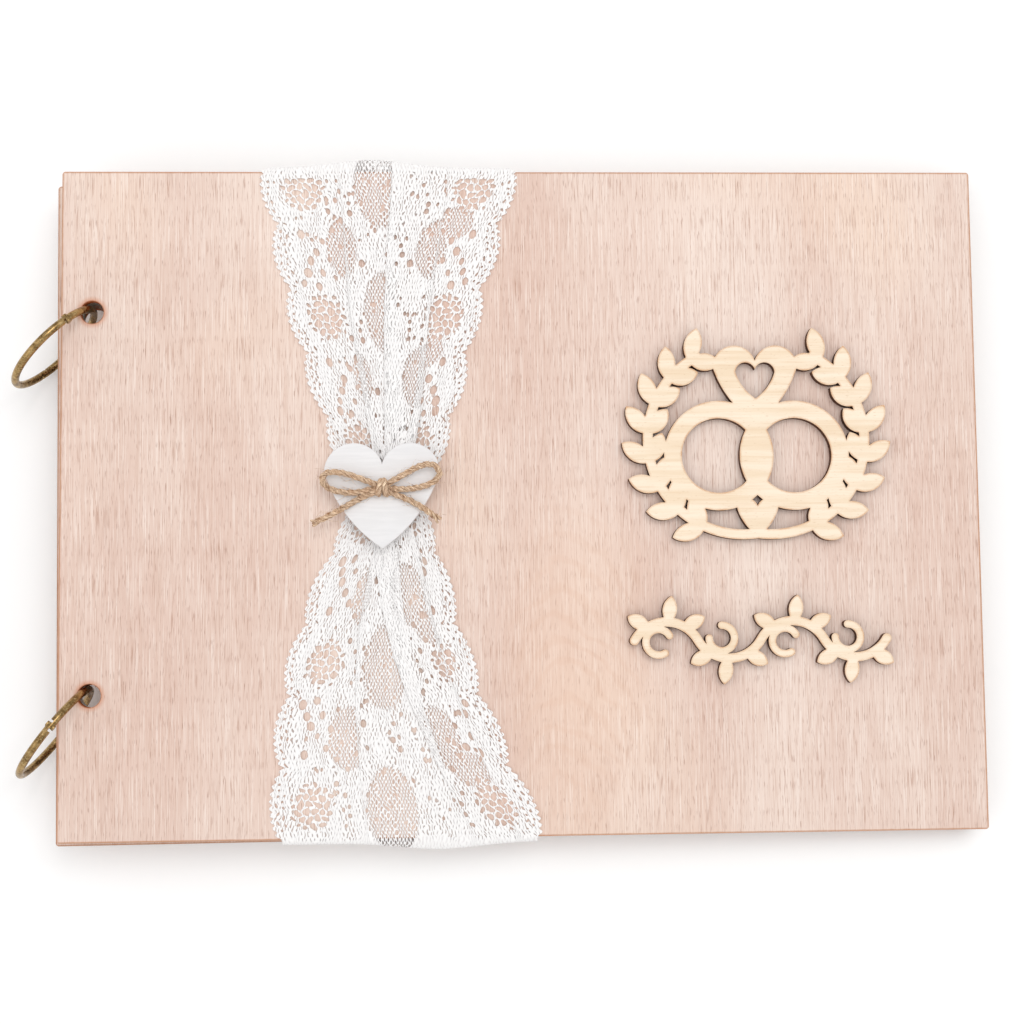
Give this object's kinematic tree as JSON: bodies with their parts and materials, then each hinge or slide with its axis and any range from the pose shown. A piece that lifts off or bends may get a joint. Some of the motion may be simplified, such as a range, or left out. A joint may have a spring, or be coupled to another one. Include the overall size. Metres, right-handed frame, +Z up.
{
  "type": "wedding guest book",
  "caption": "Landscape guest book with plywood covers and card leaves on two hinged binder rings, trimmed with a gathered lace band, a heart, a twine bow and cut wood ornaments.",
  "frame": {"origin": "centre of the footprint on the surface that the closed book lies on", "axes": "+X from the ringed spine to the fore edge, +Y to the head of the book, +Z up out of the front cover"},
  "size_m": [0.306, 0.2128, 0.0366],
  "materials": {
    "stained_ply": "matt, bare veneer with laser-charred edges",
    "birch_ply": "matt, bare birch with charred edges",
    "white_card": "matt card",
    "cotton_lace": "white cotton lace",
    "white_painted_wood": "matt white paint",
    "jute_twine": "natural jute",
    "antique_brass": "dark antique brass plating"
  },
  "bodies": {
    "back_cover": {"back_cover": "stained_ply"},
    "leaf_01": {"leaf_01": "white_card"},
    "leaf_02": {"leaf_02": "white_card"},
    "leaf_03": {"leaf_03": "white_card"},
    "leaf_04": {"leaf_04": "white_card"},
    "leaf_05": {"leaf_05": "white_card"},
    "leaf_06": {"leaf_06": "white_card"},
    "leaf_07": {"leaf_07": "white_card"},
    "leaf_08": {"leaf_08": "white_card"},
    "leaf_09": {"leaf_09": "white_card"},
    "leaf_10": {"leaf_10": "white_card"},
    "leaf_11": {"leaf_11": "white_card"},
    "leaf_12": {"leaf_12": "white_card"},
    "leaf_13": {"leaf_13": "white_card"},
    "leaf_14": {"leaf_14": "white_card"},
    "leaf_15": {"leaf_15": "white_card"},
    "leaf_16": {"leaf_16": "white_card"},
    "leaf_17": {"leaf_17": "white_card"},
    "leaf_18": {"leaf_18": "white_card"},
    "leaf_19": {"leaf_19": "white_card"},
    "front_cover": {"front_cover": "stained_ply", "lace_band": "cotton_lace", "heart": "white_painted_wood", "bow_knot": "jute_twine", "bow_left_loop": "jute_twine", "bow_right_loop": "jute_twine", "bow_left_tail": "jute_twine", "bow_right_tail": "jute_twine", "wreath_ornament": "birch_ply", "vine_ornament": "birch_ply"},
    "ring_upper": {"ring_upper_inner_half": "antique_brass", "ring_upper_outer_half": "antique_brass", "ring_upper_rivet": "antique_brass"},
    "ring_lower": {"ring_lower_inner_half": "antique_brass", "ring_lower_outer_half": "antique_brass", "ring_lower_rivet": "antique_brass"}
  },
  "joints": [
    {"name": "cover_open", "type": "hinge", "parent": "back_cover", "child": "front_cover", "pos_m": [-0.14185, 0.0006, 0.01869], "axis": [0, -1, 0], "range_deg": [0, 180]},
    {"name": "leaf_01_turn", "type": "hinge", "parent": "back_cover", "child": "leaf_01", "pos_m": [-0.14185, 0.0006, 0.01869], "axis": [0, -1, 0], "range_deg": [0, 180]},
    {"name": "leaf_02_turn", "type": "hinge", "parent": "back_cover", "child": "leaf_02", "pos_m": [-0.14185, 0.0006, 0.01869], "axis": [0, -1, 0], "range_deg": [0, 180]},
    {"name": "leaf_03_turn", "type": "hinge", "parent": "back_cover", "child": "leaf_03", "pos_m": [-0.14185, 0.0006, 0.01869], "axis": [0, -1, 0], "range_deg": [0, 180]},
    {"name": "leaf_04_turn", "type": "hinge", "parent": "back_cover", "child": "leaf_04", "pos_m": [-0.14185, 0.0006, 0.01869], "axis": [0, -1, 0], "range_deg": [0, 180]},
    {"name": "leaf_05_turn", "type": "hinge", "parent": "back_cover", "child": "leaf_05", "pos_m": [-0.14185, 0.0006, 0.01869], "axis": [0, -1, 0], "range_deg": [0, 180]},
    {"name": "leaf_06_turn", "type": "hinge", "parent": "back_cover", "child": "leaf_06", "pos_m": [-0.14185, 0.0006, 0.01869], "axis": [0, -1, 0], "range_deg": [0, 180]},
    {"name": "leaf_07_turn", "type": "hinge", "parent": "back_cover", "child": "leaf_07", "pos_m": [-0.14185, 0.0006, 0.01869], "axis": [0, -1, 0], "range_deg": [0, 180]},
    {"name": "leaf_08_turn", "type": "hinge", "parent": "back_cover", "child": "leaf_08", "pos_m": [-0.14185, 0.0006, 0.01869], "axis": [0, -1, 0], "range_deg": [0, 180]},
    {"name": "leaf_09_turn", "type": "hinge", "parent": "back_cover", "child": "leaf_09", "pos_m": [-0.14185, 0.0006, 0.01869], "axis": [0, -1, 0], "range_deg": [0, 180]},
    {"name": "leaf_10_turn", "type": "hinge", "parent": "back_cover", "child": "leaf_10", "pos_m": [-0.14185, 0.0006, 0.01869], "axis": [0, -1, 0], "range_deg": [0, 180]},
    {"name": "leaf_11_turn", "type": "hinge", "parent": "back_cover", "child": "leaf_11", "pos_m": [-0.14185, 0.0006, 0.01869], "axis": [0, -1, 0], "range_deg": [0, 180]},
    {"name": "leaf_12_turn", "type": "hinge", "parent": "back_cover", "child": "leaf_12", "pos_m": [-0.14185, 0.0006, 0.01869], "axis": [0, -1, 0], "range_deg": [0, 180]},
    {"name": "leaf_13_turn", "type": "hinge", "parent": "back_cover", "child": "leaf_13", "pos_m": [-0.14185, 0.0006, 0.01869], "axis": [0, -1, 0], "range_deg": [0, 180]},
    {"name": "leaf_14_turn", "type": "hinge", "parent": "back_cover", "child": "leaf_14", "pos_m": [-0.14185, 0.0006, 0.01869], "axis": [0, -1, 0], "range_deg": [0, 180]},
    {"name": "leaf_15_turn", "type": "hinge", "parent": "back_cover", "child": "leaf_15", "pos_m": [-0.14185, 0.0006, 0.01869], "axis": [0, -1, 0], "range_deg": [0, 180]},
    {"name": "leaf_16_turn", "type": "hinge", "parent": "back_cover", "child": "leaf_16", "pos_m": [-0.14185, 0.0006, 0.01869], "axis": [0, -1, 0], "range_deg": [0, 180]},
    {"name": "leaf_17_turn", "type": "hinge", "parent": "back_cover", "child": "leaf_17", "pos_m": [-0.14185, 0.0006, 0.01869], "axis": [0, -1, 0], "range_deg": [0, 180]},
    {"name": "leaf_18_turn", "type": "hinge", "parent": "back_cover", "child": "leaf_18", "pos_m": [-0.14185, 0.0006, 0.01869], "axis": [0, -1, 0], "range_deg": [0, 180]},
    {"name": "leaf_19_turn", "type": "hinge", "parent": "back_cover", "child": "leaf_19", "pos_m": [-0.14185, 0.0006, 0.01869], "axis": [0, -1, 0], "range_deg": [0, 180]},
    {"name": "ring_upper_swing", "type": "hinge", "parent": "leaf_10", "child": "ring_upper", "pos_m": [-0.12636, 0.06202, 0.01748], "axis": [0.039, 0, 0.9992], "range_deg": [-70, 0]},
    {"name": "ring_lower_swing", "type": "hinge", "parent": "leaf_10", "child": "ring_lower", "pos_m": [-0.12637, -0.05876, 0.01748], "axis": [0.039, 0, 0.9992], "range_deg": [-70, 0]}
  ],
  "couplings": [
    {"joint": "leaf_01_turn", "follows": "cover_open", "ratio": 0.05},
    {"joint": "leaf_02_turn", "follows": "cover_open", "ratio": 0.1},
    {"joint": "leaf_03_turn", "follows": "cover_open", "ratio": 0.15},
    {"joint": "leaf_04_turn", "follows": "cover_open", "ratio": 0.2},
    {"joint": "leaf_05_turn", "follows": "cover_open", "ratio": 0.25},
    {"joint": "leaf_06_turn", "follows": "cover_open", "ratio": 0.3},
    {"joint": "leaf_07_turn", "follows": "cover_open", "ratio": 0.35},
    {"joint": "leaf_08_turn", "follows": "cover_open", "ratio": 0.4},
    {"joint": "leaf_09_turn", "follows": "cover_open", "ratio": 0.45},
    {"joint": "leaf_10_turn", "follows": "cover_open", "ratio": 0.5},
    {"joint": "leaf_11_turn", "follows": "cover_open", "ratio": 0.55},
    {"joint": "leaf_12_turn", "follows": "cover_open", "ratio": 0.6},
    {"joint": "leaf_13_turn", "follows": "cover_open", "ratio": 0.65},
    {"joint": "leaf_14_turn", "follows": "cover_open", "ratio": 0.7},
    {"joint": "leaf_15_turn", "follows": "cover_open", "ratio": 0.75},
    {"joint": "leaf_16_turn", "follows": "cover_open", "ratio": 0.8},
    {"joint": "leaf_17_turn", "follows": "cover_open", "ratio": 0.85},
    {"joint": "leaf_18_turn", "follows": "cover_open", "ratio": 0.9},
    {"joint": "leaf_19_turn", "follows": "cover_open", "ratio": 0.95},
    {"joint": "ring_upper_swing", "follows": "cover_open", "ratio": -0.21},
    {"joint": "ring_lower_swing", "follows": "cover_open", "ratio": -0.256}
  ]
}
